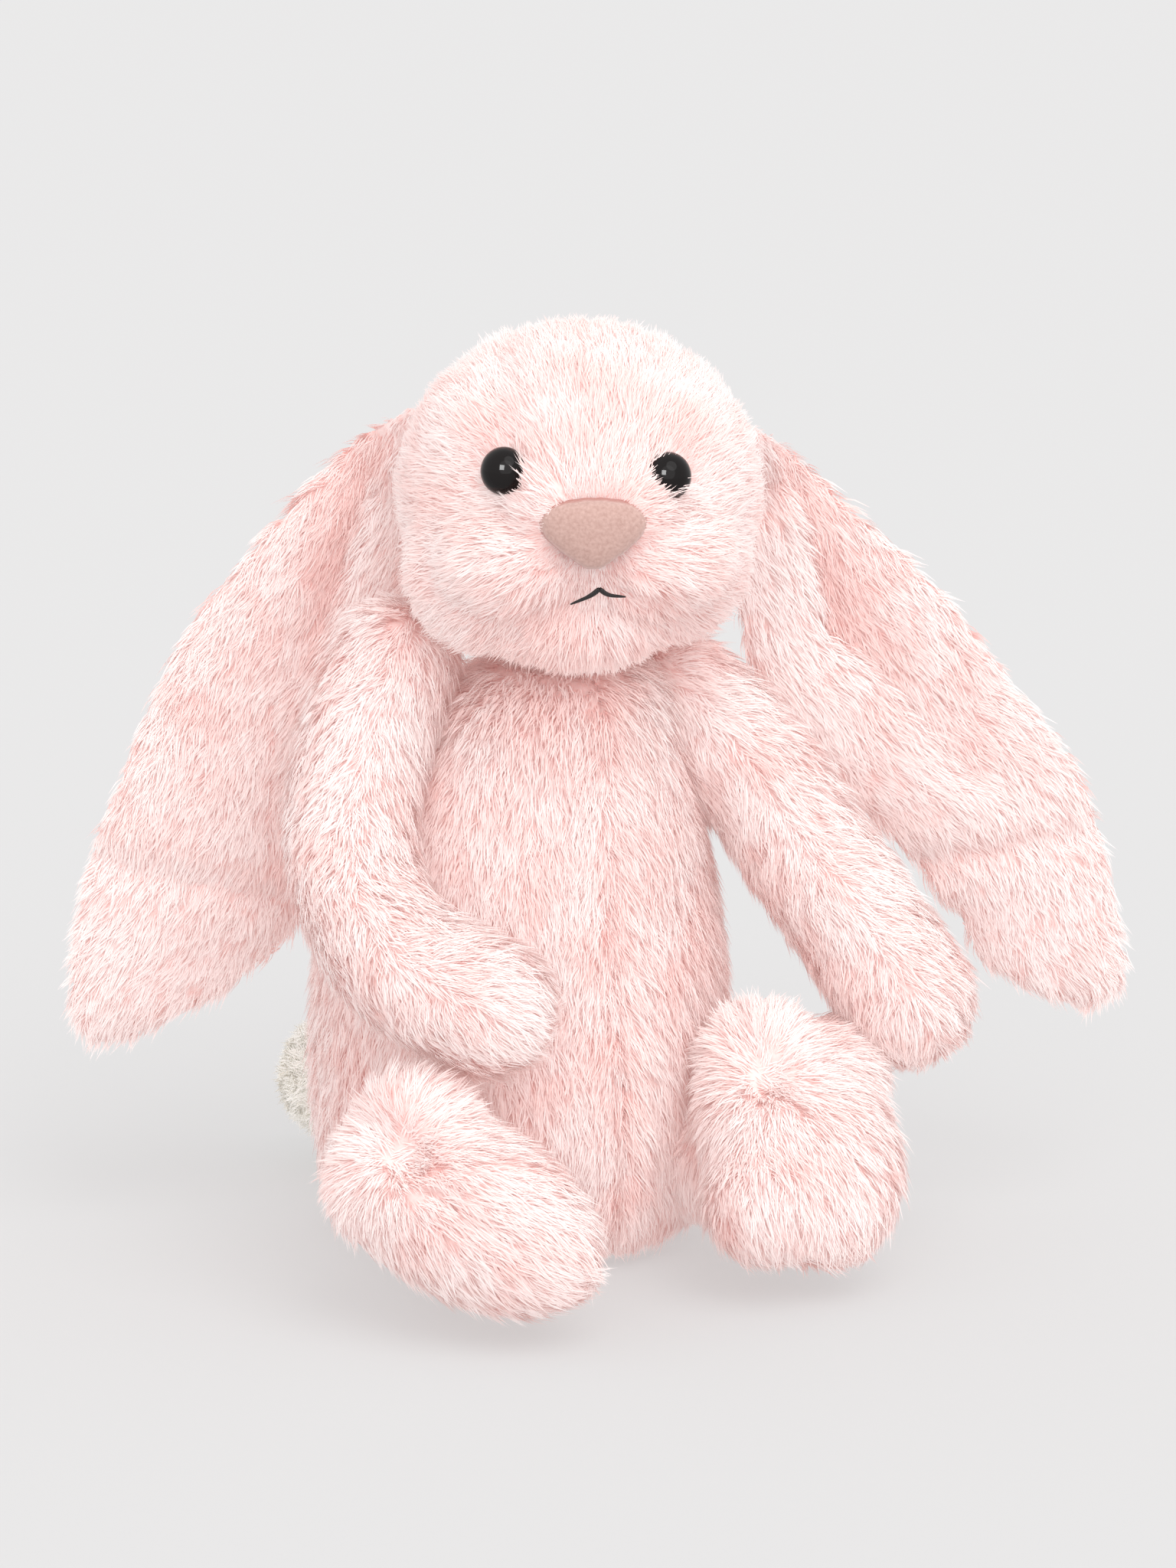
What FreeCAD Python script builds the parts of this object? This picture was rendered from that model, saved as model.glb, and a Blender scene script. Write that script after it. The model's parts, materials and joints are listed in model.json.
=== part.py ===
import FreeCAD, Part
import math
import os

# A seated, lop-eared, long-pile rabbit soft toy. Millimetres, floor at z = 0, +Z up.
# The head looks along -Y. The torso is turned by torso_yaw about Z, so the body looks a little to the side.
# Every soft solid ends half-way up the pile. "right" and "left" are the rabbit's own: right is -X.

doc = FreeCAD.newDocument("rabbit")

DIMS = {
    # whole toy
    "shift_x": -19.55, "shift_y": 15.28, "torso_yaw": 26, "wall": 3.2, "gap": 0.25, "room": 2.7, "seam_deg": 0.5, "reach": 400,
    # pear-shaped torso: radius at height, from the base to the neck
    "base_r": 37, "heel_r": 43.5, "heel_z": 5, "hip_r": 49, "hip_z": 16, "belly_r": 50.5, "belly_z": 40,
    "waist_r": 46, "waist_z": 74, "chest_r": 38, "chest_z": 100, "collar_r": 29, "collar_z": 123,
    "neck_r": 15, "top_z": 135,
    "pouch_r": 28, "pouch_half": 11, "pouch_z": 19,
    "tail_r": 17.5, "tail_x": -37, "tail_y": 57, "tail_z": 20,
    "ring_x": 9, "ring_y": -15, "ring_z": 136.6, "ring_r": 12, "thread_r": 1.1,
    # head
    "head_x": 12.5, "head_y": -20, "head_z": 178.2, "head_wide": 40.2, "head_deep": 42, "head_high": 38.5,
    "gusset_deg": 112, "chin_deg": 80,
    "eye_x": 20.4, "eye_z": 10.3, "eye_out": 34.3, "eye_r": 5.2, "eye_bulge": 3.9, "eye_turn": 27, "eye_tilt": 14,
    "post_r": 1.8, "post_long": 12, "washer_r": 7, "washer_thick": 1.6,
    "nose_half": 11.8, "nose_top": 7.2, "nose_drop": 8.4, "nose_round": 3.6, "nose_thick": 1.7, "nose_z": -1,
    "mouth_z": -14, "mouth_fall": 3.6, "mouth_half": 6.2, "mouth_thread": 0.6,
    # feet: half sizes, then where each foot and hip lies
    "foot_long": 37, "foot_wide": 24, "foot_thick": 20, "hip_ball": 18.5, "foot_pouch": 11,
    "foot_r_x": -17.5, "foot_r_y": -80.5, "foot_r_z": 26, "hip_r_x": -20, "hip_r_y": -43, "hip_r_z": 24,
    "foot_l_x": 63.5, "foot_l_y": -47.5, "foot_l_z": 31.5, "hip_l_x": 42, "hip_l_y": -22, "hip_l_z": 24,
    # shoulders
    "arm_root": 12, "arm_mid": 14.6, "hand_size": 15.8,
    "ear_thick": 4.6, "ear_root": 8,
}

# Where the arms bend: position, then which of the three arm radii applies.
ARM_PATHS = {
    "right": [(-31, -18.5, 137, "arm_root"), (-39.5, -28, 117, "arm_mid"), (-39.5, -42, 96, "arm_mid"),
              (-30, -58, 80, "arm_mid"), (-11, -68, 72, "hand_size")],
    "left": [(38, 3, 127, "arm_root"), (55.8, -4.5, 108.8, "arm_mid"), (66, -15, 91, "arm_mid"),
             (77.5, -22, 77.5, "arm_mid"), (87.5, -27, 62, "hand_size")],
}
# Ear midlines, root to tip, in the plane y = EAR_Y: x, z, half width.
EAR_Y = 12
EAR_PATHS = {
    "right": [(-28, 186, "ear_root"), (-39, 168, 13), (-50, 146, 19), (-65, 122, 23.5), (-76, 96, 25),
              (-84, 74, 22.5), (-91, 57, 16)],
    "left": [(53, 186, "ear_root"), (64, 168, 13), (76, 148, 19), (92, 124, 24), (110, 97, 25.5),
             (122, 75, 22.5), (130, 60, 16)],
}
# Directions of each foot: heel to toe, and across the foot.
FOOT_AXES = {"right": ((0.81, -0.454, -0.369), (0.55, 0.1, 0.83)), "left": ((0.30, -0.60, -0.74), (0.9, 0.4, 0.05))}

sheet = doc.addObject("Spreadsheet::Sheet", "Dims")
for row, (word, value) in enumerate(DIMS.items(), start=1):
    sheet.set("A%d" % row, word)
    sheet.set("B%d" % row, str(value))
    sheet.setAlias("B%d" % row, word)
doc.recompute()

V = FreeCAD.Vector
NODES = []


def dim(word):
    return float(sheet.get(word)) if isinstance(word, str) else float(word)


def place(obj, x="0", y="0", z="0", yaw="0", pitch="0", roll="0"):
    """Binds an object's placement to sheet expressions, in the toy's frame."""
    obj.setExpression("Placement", "placement(vector(%s + Dims.shift_x; %s + Dims.shift_y; %s); rotation(%s; %s; %s))"
                      % (x, y, z, yaw, pitch, roll))


def bound(kind, name, sizes, **where):
    obj = doc.addObject(kind, name)
    for prop, text in sizes.items():
        obj.setExpression(prop, text)
    place(obj, **where)
    return obj


def ellipsoid(name, along, across, third, **where):
    obj = doc.addObject("Part::Ellipsoid", name)
    obj.Angle1, obj.Angle2, obj.Angle3 = -90, 90, 360
    for prop, text in (("Radius1", along), ("Radius2", across), ("Radius3", third)):
        obj.setExpression(prop, text)
    place(obj, **where)
    return obj


def cut(name, base, *tools):
    tool = tools[0]
    if len(tools) > 1:
        tool = doc.addObject("Part::MultiFuse", name + "_tools")
        tool.Shapes = list(tools)
    obj = doc.addObject("Part::Cut", name)
    obj.Base, obj.Tool = base, tool
    return obj


def common(name, *shapes):
    obj = doc.addObject("Part::MultiCommon", name)
    obj.Shapes = list(shapes)
    return obj


def node(obj, label):
    obj.Label = label
    NODES.append(obj)
    return obj


def own_shape(name, shape):
    """A shape worked out from the sheet, moved with the whole toy."""
    obj = doc.addObject("Part::Feature", name)
    obj.Shape = shape
    place(obj)
    return obj


# ---------------------------------------------------------------- padded tubes: arms and ears
def with_round_ends(path):
    """Adds shrinking sections at both ends of a path of (centre, half width, half thickness)."""
    first, last = path[0], path[-1]

    def cap(end, beyond):
        centre, wide, thick = end
        away = (centre - beyond).normalize()
        steps = [(0.5, 0.866), (0.82, 0.572), (0.96, 0.28)]
        return [(centre + away * (wide * reach), wide * size, thick * size) for reach, size in steps]
    return cap(first, path[1][0])[::-1] + path + cap(last, path[-2][0])


def tube(path, normal, halves):
    """Lofts a tube along a path. halves: +1 or -1 keeps the half on that side of the seam, 0 keeps both."""
    path = with_round_ends(path)
    sections = []
    for i, (centre, wide, thick) in enumerate(path):
        ahead, behind = path[min(i + 1, len(path) - 1)][0], path[max(i - 1, 0)][0]
        along = (ahead - behind).normalize()
        side = normal.cross(along).normalize()
        out = along.cross(side).normalize()

        def arc(sign):
            ring = [centre + side * (wide * math.cos(a)) + out * (sign * thick * math.sin(a))
                    for a in (math.pi * k / 8 for k in range(9))]
            curve = Part.BSplineCurve()
            curve.interpolate(ring, InitialTangent=out * sign * thick, FinalTangent=out * -sign * thick)
            return curve.toShape()
        if halves:
            edges = [arc(halves), Part.makeLine(centre - side * wide, centre + side * wide)]
        else:
            upper, lower = arc(1), arc(-1)
            edges = [upper, lower.reversed()]
        sections.append(Part.Wire(Part.__sortEdges__(edges)))
    return Part.makeLoft(sections, True, False)


def arm_path(side, less):
    return [(V(x, y, z), dim(r) - less, dim(r) - less) for x, y, z, r in ARM_PATHS[side]]


def ear_path(side):
    return [(V(x, EAR_Y, z), dim(half), dim("ear_thick")) for x, z, half in EAR_PATHS[side]]


def path_normal(path):
    """Normal of the plane through a path's two ends and middle: the plane of the limb's seam."""
    start, middle, end = path[0][0], path[len(path) // 2][0], path[-1][0]
    return (middle - start).cross(end - start).normalize()


for side in ("right", "left"):
    normal = path_normal(arm_path(side, 0))
    inside = own_shape("arm_%s_inside" % side, tube(arm_path(side, dim("wall")), normal, 0))
    for label, half in (("outer", 1), ("inner", -1)):
        shape = tube(arm_path(side, 0), normal, half)
        shape.translate(normal * (half * dim("gap") / 2))
        half_arm = own_shape("arm_%s_%s_half" % (side, label), shape)
        node(cut("arm_%s_%s_cut" % (side, label), half_arm, inside), "arm_%s_%s_panel" % (side, label))
    filling = tube(arm_path(side, dim("wall") + dim("gap")), normal, 0)
    node(own_shape("arm_%s_filling" % side, filling), "arm_%s_stuffing" % side)
    for label, half in (("front", 1), ("back", -1)):
        facing = V(0, -half, 0)
        shape = tube(ear_path(side), facing, 1)
        shape.translate(facing * (dim("gap") / 2))
        node(own_shape("ear_%s_%s_slab" % (side, label), shape), "ear_%s_%s_panel" % (side, label))

# ---------------------------------------------------------------- legs
for side, tag in (("right", "foot_r"), ("left", "foot_l")):
    hip = "hip_" + tag[-1]
    toe, across = (V(*direction).normalize() for direction in FOOT_AXES[side])
    sole = toe.cross(across).normalize()
    turn = FreeCAD.Rotation(sole.cross(toe), sole, toe, "ZXY")
    yaw, pitch, roll = (str(angle) for angle in turn.toEuler())
    at = {"x": "Dims.%s_x" % tag, "y": "Dims.%s_y" % tag, "z": "Dims.%s_z" % tag}
    turned = dict(at, yaw=yaw, pitch=pitch, roll=roll)
    hip_at = {"x": "Dims.%s_x" % hip, "y": "Dims.%s_y" % hip, "z": "Dims.%s_z" % hip}
    centre, root = (V(*(dim("%s_%s" % (name, axis)) for axis in "xyz")) for name in (tag, hip))
    to_foot = centre - root
    lean = FreeCAD.Rotation(V(0, 0, 1), to_foot).toEuler()
    shank_at = dict(hip_at, yaw=str(lean[0]), pitch=str(lean[1]), roll=str(lean[2]))

    def leg_solid(name, less):
        foot = ellipsoid("%s_%s_foot" % (tag, name), "Dims.foot_long - " + less, "Dims.foot_wide - " + less,
                         "Dims.foot_thick - " + less, **turned)
        ball = bound("Part::Sphere", "%s_%s_ball" % (tag, name), {"Radius": "Dims.hip_ball - " + less}, **hip_at)
        shank = bound("Part::Cylinder", "%s_%s_shank" % (tag, name),
                      {"Radius": "Dims.hip_ball - 0.5 - " + less, "Height": str(to_foot.Length)}, **shank_at)
        leg = doc.addObject("Part::MultiFuse", "%s_%s_leg" % (tag, name))
        leg.Shapes = [foot, ball, shank]
        return leg

    cover = cut(tag + "_cover", leg_solid("outer", "0"), leg_solid("inner", "Dims.wall"))
    seam_normal = to_foot.cross(toe).normalize()
    for label, sign in (("outer", 1), ("inner", -1)):
        away = seam_normal * sign
        spin = FreeCAD.Rotation(V(0, 0, 1), away).toEuler()
        half_space = bound("Part::Cylinder", "%s_%s_side" % (tag, label),
                           {"Radius": "Dims.reach", "Height": "Dims.reach"},
                           x="%s_x + %f * Dims.gap / 2" % ("Dims." + tag, away.x),
                           y="%s_y + %f * Dims.gap / 2" % ("Dims." + tag, away.y),
                           z="%s_z + %f * Dims.gap / 2" % ("Dims." + tag, away.z),
                           yaw=str(spin[0]), pitch=str(spin[1]), roll=str(spin[2]))
        node(common("%s_%s_panel" % (tag, label), cover, half_space), "leg_%s_%s_panel" % (side, label))
    pouch = bound("Part::Sphere", tag + "_pouch", {"Radius": "Dims.foot_pouch"}, **at)
    node(pouch, "leg_%s_pellet_pouch" % side)
    pouch_room = bound("Part::Sphere", tag + "_pouch_room", {"Radius": "Dims.foot_pouch + Dims.gap"}, **at)
    node(cut(tag + "_filling", leg_solid("filling", "Dims.wall - Dims.gap"), pouch_room), "leg_%s_stuffing" % side)

# ---------------------------------------------------------------- torso
def profile(less):
    """Half section of the torso in the XZ plane, pulled in by the given amount."""
    rows = [("heel_r", "heel_z"), ("hip_r", "hip_z"), ("belly_r", "belly_z"), ("waist_r", "waist_z"),
            ("chest_r", "chest_z"), ("collar_r", "collar_z")]
    low, high = less, dim("top_z") - less
    points = [V(dim("base_r") - less, 0, low)] + [V(dim(r) - less, 0, max(dim(h), low + 1)) for r, h in rows]
    points.append(V(dim("neck_r") - less, 0, high))
    side = Part.BSplineCurve()
    side.interpolate(points)
    corners = [V(points[-1]), V(0, 0, high), V(0, 0, low), V(points[0])]
    edges = [side.toShape()] + [Part.makeLine(corners[i], corners[i + 1]) for i in range(3)]
    return Part.Face(Part.Wire(edges))


outside = doc.addObject("Part::Feature", "torso_section")
outside.Shape = profile(0)
inside_face = doc.addObject("Part::Feature", "torso_inner_section")
inside_face.Shape = profile(dim("wall"))
filling_face = doc.addObject("Part::Feature", "torso_filling_section")
filling_face.Shape = profile(dim("wall") + dim("gap"))


def turned_body(name, source, degrees, start):
    obj = doc.addObject("Part::Revolution", name)
    obj.Source, obj.Axis, obj.Base, obj.Solid = source, V(0, 0, 1), V(0, 0, 0), True
    obj.setExpression("Angle", degrees)
    place(obj, yaw="Dims.torso_yaw + " + start)
    return obj


sockets = [bound("Part::Sphere", "socket_" + name, {"Radius": radius + " + Dims.room"},
                 x=spot[0], y=spot[1], z=spot[2])
           for name, radius, spot in [
               ("hip_r", "Dims.hip_ball", ["Dims.hip_r_" + a for a in "xyz"]),
               ("hip_l", "Dims.hip_ball", ["Dims.hip_l_" + a for a in "xyz"]),
               ("arm_r", "Dims.arm_root", [str(v) for v in ARM_PATHS["right"][0][:3]]),
               ("arm_l", "Dims.arm_root", [str(v) for v in ARM_PATHS["left"][0][:3]])]]
torso_room = turned_body("torso_room", inside_face, "360", "0")
quarters = ["back_left", "back_right", "front_right", "front_left"]
for quarter, label in enumerate(quarters):
    start = "%d + Dims.seam_deg / 2" % (90 * quarter)
    blank = turned_body("torso_blank_" + label, outside, "90 - Dims.seam_deg", start)
    node(cut("torso_cut_" + label, blank, torso_room, *sockets), "torso_%s_panel" % label)

pouch = ellipsoid("torso_pouch", "Dims.pouch_half", "Dims.pouch_r", "Dims.pouch_r", z="Dims.pouch_z")
node(pouch, "torso_pellet_pouch")
pouch_room = ellipsoid("torso_pouch_room", "Dims.pouch_half + Dims.gap", "Dims.pouch_r + Dims.gap",
                       "Dims.pouch_r + Dims.gap", z="Dims.pouch_z")
filling = turned_body("torso_filling", filling_face, "360", "0")
node(cut("torso_filling_cut", filling, pouch_room, *sockets), "torso_stuffing")

node(bound("Part::Sphere", "tail_ball", {"Radius": "Dims.tail_r"}, x="Dims.tail_x", y="Dims.tail_y",
           z="Dims.tail_z"), "tail_pompom")
node(bound("Part::Torus", "neck_ring", {"Radius1": "Dims.ring_r", "Radius2": "Dims.thread_r"}, x="Dims.ring_x",
           y="Dims.ring_y", z="Dims.ring_z"), "neck_seam_thread")

# ---------------------------------------------------------------- head
AT_HEAD = {"x": "Dims.head_x", "y": "Dims.head_y", "z": "Dims.head_z", "roll": "90"}


def head_solid(name, extra):
    return ellipsoid(name, "Dims.head_deep + " + extra, "Dims.head_wide + " + extra, "Dims.head_high + " + extra,
                     **AT_HEAD)


def eye_frame(sign, out):
    """Placement of something on an eye's axis, `out` along it from the eye's seat."""
    yaw, tilt = math.radians(dim("eye_turn")) * sign, math.radians(dim("eye_tilt"))
    axis = V(math.sin(yaw) * math.cos(tilt), -math.cos(yaw) * math.cos(tilt), math.sin(tilt))
    turn = FreeCAD.Rotation(V(0, 0, 1), axis).toEuler()
    return {"x": "Dims.head_x + %d * Dims.eye_x + %f * (%s)" % (sign, axis.x, out),
            "y": "Dims.head_y - Dims.eye_out + %f * (%s)" % (axis.y, out),
            "z": "Dims.head_z + Dims.eye_z + %f * (%s)" % (axis.z, out),
            "yaw": str(turn[0]), "pitch": str(turn[1]), "roll": str(turn[2])}


eye_holes, washer_rooms = [], []
for side, sign in (("right", -1), ("left", 1)):
    bead = ellipsoid("eye_bead_" + side, "Dims.eye_bulge", "Dims.eye_r", "Dims.eye_r", **eye_frame(sign, "0.4"))
    post = bound("Part::Cylinder", "eye_post_" + side, {"Radius": "Dims.post_r", "Height": "Dims.post_long"},
                 **eye_frame(sign, "-Dims.post_long"))
    eye = doc.addObject("Part::MultiFuse", "eye_whole_" + side)
    eye.Shapes = [bead, post]
    node(eye, "eye_" + side)
    disc = bound("Part::Cylinder", "washer_disc_" + side,
                 {"Radius": "Dims.washer_r", "Height": "Dims.washer_thick"}, **eye_frame(sign, "-8.5"))
    bore = bound("Part::Cylinder", "washer_bore_" + side, {"Radius": "Dims.post_r + 0.1", "Height": "20"},
                 **eye_frame(sign, "-15"))
    node(cut("washer_cut_" + side, disc, bore), "eye_%s_washer" % side)
    eye_holes.append(bound("Part::Cylinder", "eye_hole_" + side,
                           {"Radius": "Dims.eye_r + Dims.gap", "Height": "30"}, **eye_frame(sign, "-15")))
    washer_rooms.append(bound("Part::Cylinder", "washer_room_" + side,
                              {"Radius": "Dims.washer_r + Dims.gap", "Height": "40"}, **eye_frame(sign, "-15")))

head_shell = cut("head_shell", cut("head_cover", head_solid("head_outside", "0"), head_solid("head_room", "-Dims.wall")),
                 *eye_holes)
panels = [("head_centre_gusset", "90 - Dims.gusset_deg / 2", "Dims.gusset_deg"),
          ("head_right_panel", "90 + Dims.gusset_deg / 2", "180 - Dims.gusset_deg / 2 - Dims.chin_deg / 2"),
          ("head_chin_panel", "270 - Dims.chin_deg / 2", "Dims.chin_deg"),
          ("head_left_panel", "270 + Dims.chin_deg / 2", "180 - Dims.gusset_deg / 2 - Dims.chin_deg / 2")]
for label, start, sweep in panels:
    wedge = doc.addObject("Part::Cylinder", label + "_wedge")
    wedge.setExpression("Radius", "Dims.reach")
    wedge.setExpression("Height", "Dims.reach")
    wedge.setExpression("Angle", sweep + " - Dims.seam_deg")
    turn = "rotation(0; 0; 90) * rotation(%s + Dims.seam_deg / 2; 0; 0)" % start
    wedge.setExpression("Placement", "placement(vector(Dims.head_x + Dims.shift_x; Dims.head_y + Dims.shift_y + "
                        "Dims.reach / 2; Dims.head_z); " + turn + ")")
    node(common(label + "_common", head_shell, wedge), label)

node(cut("head_filling_cut", head_solid("head_filling", "-Dims.wall - Dims.gap"), *washer_rooms), "head_stuffing")


def rounded_triangle():
    """Nose outline in the XZ plane: wide on top, narrow below, with round corners."""
    half, top, low, radius = dim("nose_half"), dim("nose_top"), dim("nose_drop"), dim("nose_round")
    spots = [V(-half + radius, 0, top - radius), V(half - radius, 0, top - radius), V(0, 0, -low + radius)]
    edges = []
    for i, spot in enumerate(spots):
        before, after = spots[i - 1], spots[(i + 1) % 3]
        first = (spot - before).cross(V(0, 1, 0)).normalize() * radius
        second = (after - spot).cross(V(0, 1, 0)).normalize() * radius
        middle = (first + second).normalize() * radius
        edges.append(Part.Arc(spot + first, spot + middle, spot + second).toShape())
        edges.append(Part.makeLine(spot + second, after + second))
    return Part.Face(Part.Wire(edges)).extrude(V(0, -60, 0))


nose_post = doc.addObject("Part::Feature", "nose_post")
nose_post.Shape = rounded_triangle()
place(nose_post, x="Dims.head_x", y="Dims.head_y", z="Dims.head_z + Dims.nose_z")
nose_skin = cut("nose_skin", head_solid("nose_outside", "Dims.nose_thick"), head_solid("nose_inside", "0.15"))
node(common("nose_common", nose_skin, nose_post), "nose_patch")

# The mouth is two satin stitches lying on the fur, meeting under the nose.
lift = 1.0
stitches = []
for sign in (-1, 1):
    def on_face(x, z):
        flat = 1 - (x / dim("head_wide")) ** 2 - (z / dim("head_high")) ** 2
        return V(x, -(dim("head_deep") + lift) * math.sqrt(flat), z)
    high = on_face(0, dim("mouth_z"))
    low = on_face(sign * dim("mouth_half"), dim("mouth_z") - dim("mouth_fall"))
    run = low - high
    turn = FreeCAD.Rotation(V(0, 0, 1), run).toEuler()
    spot = {"x": "Dims.head_x + %f" % high.x, "y": "Dims.head_y + %f" % high.y, "z": "Dims.head_z + %f" % high.z}
    stitches.append(bound("Part::Cylinder", "stitch_%d" % (sign + 1),
                          {"Radius": "Dims.mouth_thread", "Height": str(run.Length)},
                          yaw=str(turn[0]), pitch=str(turn[1]), roll=str(turn[2]), **spot))
knot = bound("Part::Sphere", "stitch_knot", {"Radius": "Dims.mouth_thread + 0.05"}, **spot)
mouth = doc.addObject("Part::MultiFuse", "mouth_whole")
mouth.Shapes = stitches + [knot]
node(mouth, "mouth_stitch")

doc.recompute()

# ---------------------------------------------------------------- check and write
faults = [o.Name for o in doc.Objects if {"Invalid", "Error"} & set(o.State)]
for obj in NODES:
    shape = obj.Shape
    if shape.isNull() or not shape.isValid() or len(shape.Solids) != 1:
        faults.append("%s (%d solids)" % (obj.Label, 0 if shape.isNull() else len(shape.Solids)))
if faults:
    raise RuntimeError("bad shapes: " + ", ".join(faults))
os.makedirs("parts", exist_ok=True)
for obj in NODES:
    obj.Shape.exportStep("parts/%s.step" % obj.Label)
print("wrote", len(NODES), "parts")
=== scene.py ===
import json
import math

import bmesh
import bpy
import numpy as np
from mathutils import Matrix, Vector, noise

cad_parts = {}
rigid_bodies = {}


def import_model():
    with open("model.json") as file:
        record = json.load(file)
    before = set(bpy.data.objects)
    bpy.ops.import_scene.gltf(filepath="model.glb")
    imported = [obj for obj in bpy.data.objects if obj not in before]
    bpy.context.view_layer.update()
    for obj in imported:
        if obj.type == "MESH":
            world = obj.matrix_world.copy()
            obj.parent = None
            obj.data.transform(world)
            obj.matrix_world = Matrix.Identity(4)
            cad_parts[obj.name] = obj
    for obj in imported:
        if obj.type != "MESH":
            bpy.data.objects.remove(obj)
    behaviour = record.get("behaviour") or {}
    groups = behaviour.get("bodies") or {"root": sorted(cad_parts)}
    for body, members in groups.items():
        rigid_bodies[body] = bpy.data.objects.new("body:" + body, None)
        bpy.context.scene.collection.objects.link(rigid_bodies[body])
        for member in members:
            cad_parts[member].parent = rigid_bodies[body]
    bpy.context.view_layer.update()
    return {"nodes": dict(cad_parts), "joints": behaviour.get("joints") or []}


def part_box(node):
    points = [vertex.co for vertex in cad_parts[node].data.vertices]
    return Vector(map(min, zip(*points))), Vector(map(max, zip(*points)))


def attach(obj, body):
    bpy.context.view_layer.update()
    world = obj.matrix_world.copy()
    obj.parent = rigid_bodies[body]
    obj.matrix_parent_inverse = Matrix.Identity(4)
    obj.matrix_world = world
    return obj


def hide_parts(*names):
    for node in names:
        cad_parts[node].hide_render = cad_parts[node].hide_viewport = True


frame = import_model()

# A seated lop-eared rabbit in long pink pile. Every sewn panel is a piece of knitted backing with a pile of its own.
# Every shape below is in millimetres. MM turns them into metres, and names ending _M are metres already.
MM = 0.001


def box_mid(node):
    lo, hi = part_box(node)
    return (lo + hi) / 2 / MM


seat_mid = box_mid("torso_pellet_pouch")
HOME = Vector((seat_mid.x, seat_mid.y, 0))           # floor point under the middle of the torso
HEAD = box_mid("head_stuffing")
FEET = {"right": box_mid("leg_right_pellet_pouch"), "left": box_mid("leg_left_pellet_pouch")}
TAIL = box_mid("tail_pompom")
EYES = {side: box_mid("eye_" + side) for side in ("right", "left")}
NOSE = box_mid("nose_patch")
TORSO_YAW = math.radians(26)
FORWARD = Vector((math.sin(TORSO_YAW), -math.cos(TORSO_YAW), 0))
SIDEWAYS = Vector((math.cos(TORSO_YAW), math.sin(TORSO_YAW), 0))

PILE_SHARE = 1.0                   # share of the tufts that are laid down
TUFTS_PER_MM2 = {"head": 0.60, "torso": 0.405, "arm": 0.47, "leg": 0.45, "ear": 0.37, "tail": 1.15}
COAT_LENGTH = 0.8                                     # of a tuft's full reach
CLOTH_MM = 1.1                                        # knitted backing
FAR_AWAY = 1e9
FINE_RELIEF_M = 0.0003


def at(x, y, z):
    """A place given from the floor point under the torso: sideways, back and up."""
    return HOME + Vector((x, y, z))


def show(obj):
    bpy.context.scene.collection.objects.link(obj)
    return obj


def new_piece(name, bm):
    """A finished object, at the origin, from a bmesh in metres."""
    mesh = bpy.data.meshes.new(name)
    bm.to_mesh(mesh)
    bm.free()
    return show(bpy.data.objects.new(name, mesh))


# ---------------------------------------------------------------- sewn skins
def evaluated(obj):
    """The object's mesh with its modifiers applied, as a new plain object."""
    mesh = bpy.data.meshes.new_from_object(obj.evaluated_get(bpy.context.evaluated_depsgraph_get()))
    name = obj.name
    bpy.data.objects.remove(obj)
    return show(bpy.data.objects.new(name, mesh))


def stuffed(name, lumps, voxel=2.0, smooth=10):
    """One smooth skin round many lumps: each lump is (centre, radii or radius, optional rotation matrix)."""
    bm = bmesh.new()
    for lump in lumps:
        centre, radii = lump[0], lump[1]
        turn = lump[2].to_4x4() if len(lump) > 2 else Matrix.Identity(4)
        if not hasattr(radii, "__len__"):
            radii = (radii,) * 3
        fit = Matrix.Translation(Vector(centre) * MM) @ turn @ Matrix.Diagonal([r * MM for r in radii] + [1])
        bmesh.ops.create_icosphere(bm, subdivisions=3, radius=1, matrix=fit)
    obj = new_piece(name, bm)
    remesh = obj.modifiers.new("weld", "REMESH")
    remesh.mode, remesh.voxel_size = "VOXEL", voxel * MM
    soften = obj.modifiers.new("soften", "SMOOTH")
    soften.factor, soften.iterations = 0.7, smooth
    return evaluated(obj)


def read(obj):
    """Vertex places in millimetres and their normals."""
    mesh = obj.data
    places, normals = (np.empty(len(mesh.vertices) * 3) for _ in range(2))
    mesh.vertices.foreach_get("co", places)
    mesh.vertex_normals.foreach_get("vector", normals)
    return places.reshape(-1, 3) / MM, normals.reshape(-1, 3)


def write(obj, places):
    obj.data.vertices.foreach_set("co", (places * MM).ravel())
    obj.data.update()


def bump(distance, width):
    return np.exp(-(distance / width) ** 2)


def push(obj, *dents):
    """Moves the skin along its normals. Each dent is a function of the places, in millimetres, negative inwards."""
    for dent in dents:
        places, normals = read(obj)
        write(obj, places + normals * dent(places)[:, None])


def near_point(point, width, depth):
    spot = np.array(point)
    return lambda p: -depth * bump(np.linalg.norm(p - spot, axis=1), width)


def to_chain(places, chain):
    """For each place: distance to a chain of points, vector from its nearest link, that link, and where along it."""
    best = np.full(len(places), FAR_AWAY)
    apart, link, part = np.zeros((len(places), 3)), np.zeros(len(places), int), np.zeros(len(places))
    for number, (a, b) in enumerate(zip(chain, chain[1:])):
        run = b - a
        share = np.clip((places - a) @ run / (run @ run), 0, 1)
        offset = places - a - share[:, None] * run
        distance = np.linalg.norm(offset, axis=1)
        nearer = distance < best
        best[nearer], apart[nearer] = distance[nearer], offset[nearer]
        link[nearer], part[nearer] = number, share[nearer]
    return best, apart, link, part


def near_line(points, width, depth):
    """A crease along a chain of points."""
    chain = [np.array(v) for v in points]
    return lambda places: -depth * bump(to_chain(places, chain)[0], width)


def set_vectors(obj, name, values):
    layer = obj.data.attributes.new(name, "FLOAT_VECTOR", "POINT")
    layer.data.foreach_set("vector", np.ascontiguousarray(values, dtype=np.float32).ravel())


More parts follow.
